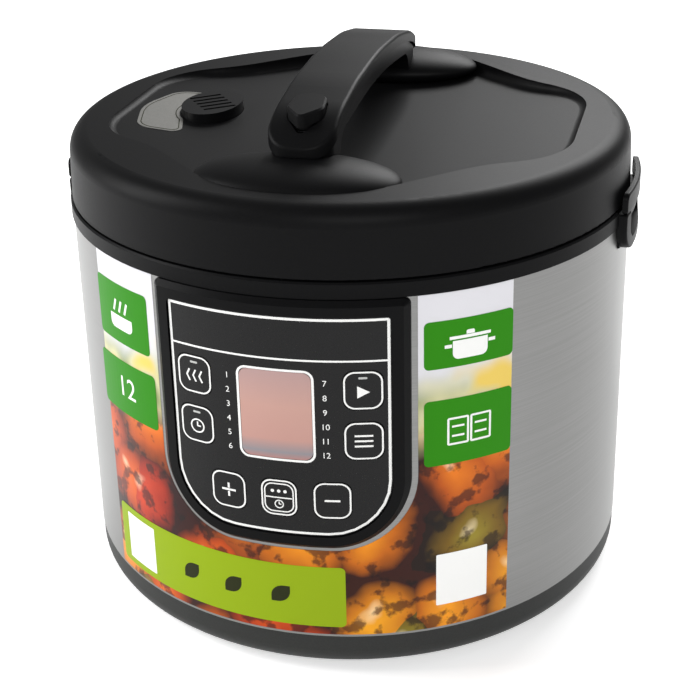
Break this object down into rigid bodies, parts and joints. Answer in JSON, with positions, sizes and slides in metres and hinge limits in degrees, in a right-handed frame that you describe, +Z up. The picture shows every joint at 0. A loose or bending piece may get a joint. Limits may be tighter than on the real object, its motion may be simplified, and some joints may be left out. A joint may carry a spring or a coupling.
{
  "type": "electric multicooker",
  "caption": "Round countertop electric multicooker with a rear-hinged latched lid, arched carry handle, steam vent, side grips, display and key panel, and an inner cooking pot.",
  "frame": {"origin": "on the cooker's vertical axis, in the plane its feet stand on", "axes": "+Z up, -Y the way the control panel faces, +Y towards the lid hinge, +X to the right of somebody behind the panel's face looking at the cooker from the front"},
  "size_m": [0.2916, 0.2979, 0.2683],
  "materials": {
    "black_plastic": "satin",
    "base_plastic": "satin",
    "shell_steel": "brushed",
    "zinc_steel": "plain",
    "film_print": "printed",
    "panel_black": "semi-gloss",
    "display_film": "translucent film",
    "display_glass": "glass-like",
    "pot_coating": "non-stick coated",
    "cast_aluminium": "cast",
    "bare_aluminium": "satin",
    "foil": "satin foil",
    "silicone": "matt",
    "rubber": "matt",
    "board": "solder mask",
    "component": "moulded",
    "fastener": "plated",
    "spring_steel": "plain",
    "brass": "plain"
  },
  "bodies": {
    "cooker_body": {"base_pan": "base_plastic", "rubber_feet": "rubber", "power_board": "board", "board_components": "component", "board_screws": "fastener", "outer_shell": "shell_steel", "collar": "black_plastic", "catch_plate": "zinc_steel", "inner_liner": "zinc_steel", "liner_screws": "fastener", "heating_plate": "cast_aluminium", "heating_element": "zinc_steel", "heater_posts": "zinc_steel", "sensor_sleeve": "zinc_steel", "sensor_spring": "spring_steel", "thermal_fuse": "component", "cooking_pot": "pot_coating", "pot_rivets": "fastener", "pot_ear_left": "black_plastic", "pot_ear_right": "black_plastic", "side_pocket_left": "black_plastic", "side_pocket_right": "black_plastic", "panel_bezel": "black_plastic", "panel_overlay": "panel_black", "display_window": "display_film", "control_board": "board", "key_switches": "component", "display_module": "display_glass", "panel_screws": "fastener", "front_film": "film_print", "mains_inlet": "black_plastic", "inlet_pins": "brass", "hinge_bracket": "black_plastic", "hinge_screws": "fastener", "hinge_pin": "fastener", "lid_spring": "spring_steel"},
    "lid": {"lid_shell": "black_plastic", "lid_frame": "black_plastic", "latch_pin": "fastener", "lid_screws": "fastener", "inner_lid": "bare_aluminium", "inner_lid_knob": "silicone", "lid_gasket": "silicone", "vent_seal": "silicone", "lid_foil": "foil", "handle_cover": "black_plastic", "handle_core": "black_plastic", "handle_screws": "fastener", "button_spring": "spring_steel"},
    "release_button": {"release_button": "black_plastic"},
    "latch": {"latch": "zinc_steel"},
    "steam_vent": {"steam_vent_cap": "black_plastic"},
    "temperature_sensor": {"sensor_cup": "bare_aluminium"},
    "key_delay": {"key_delay": "panel_black"},
    "key_keep_warm": {"key_keep_warm": "panel_black"},
    "key_recipe": {"key_recipe": "panel_black"},
    "key_time": {"key_time": "panel_black"},
    "key_minus": {"key_minus": "panel_black"},
    "key_start": {"key_start": "panel_black"},
    "key_plus": {"key_plus": "panel_black"}
  },
  "joints": [
    {"name": "lid_hinge", "type": "hinge", "parent": "cooker_body", "child": "lid", "pos_m": [0, 0.1475, 0.208], "axis": [-1, 0, 0], "range_deg": [0, 95]},
    {"name": "button_press", "type": "slide", "parent": "lid", "child": "release_button", "axis": [0, 0, -1], "range_m": [0, 0.0035], "stiffness_N_per_m": 700, "springref_m": -0.003, "deforming": ["button_spring"]},
    {"name": "latch_turn", "type": "hinge", "parent": "lid", "child": "latch", "pos_m": [0, -0.118, 0.222], "axis": [-1, 0, 0], "range_deg": [0, 6]},
    {"name": "vent_lift", "type": "slide", "parent": "lid", "child": "steam_vent", "axis": [0, 0, 1], "range_m": [0, 0.03]},
    {"name": "sensor_press", "type": "slide", "parent": "cooker_body", "child": "temperature_sensor", "axis": [0, 0, -1], "range_m": [0, 0.004], "stiffness_N_per_m": 400, "springref_m": -0.006, "deforming": ["sensor_spring"]},
    {"name": "key_delay_press", "type": "slide", "parent": "cooker_body", "child": "key_delay", "axis": [0, 1, 0], "range_m": [0, 0.0006], "stiffness_N_per_m": 1500, "springref_m": -0.0006},
    {"name": "key_keep_warm_press", "type": "slide", "parent": "cooker_body", "child": "key_keep_warm", "axis": [0, 1, 0], "range_m": [0, 0.0006], "stiffness_N_per_m": 1500, "springref_m": -0.0006},
    {"name": "key_recipe_press", "type": "slide", "parent": "cooker_body", "child": "key_recipe", "axis": [0, 1, 0], "range_m": [0, 0.0006], "stiffness_N_per_m": 1500, "springref_m": -0.0006},
    {"name": "key_time_press", "type": "slide", "parent": "cooker_body", "child": "key_time", "axis": [0, 1, 0], "range_m": [0, 0.0006], "stiffness_N_per_m": 1500, "springref_m": -0.0006},
    {"name": "key_minus_press", "type": "slide", "parent": "cooker_body", "child": "key_minus", "axis": [0, 1, 0], "range_m": [0, 0.0006], "stiffness_N_per_m": 1500, "springref_m": -0.0006},
    {"name": "key_start_press", "type": "slide", "parent": "cooker_body", "child": "key_start", "axis": [0, 1, 0], "range_m": [0, 0.0006], "stiffness_N_per_m": 1500, "springref_m": -0.0006},
    {"name": "key_plus_press", "type": "slide", "parent": "cooker_body", "child": "key_plus", "axis": [0, 1, 0], "range_m": [0, 0.0006], "stiffness_N_per_m": 1500, "springref_m": -0.0006}
  ],
  "couplings": [
    {"joint": "latch_turn", "follows": "button_press", "rad_per_m": 28.571}
  ]
}
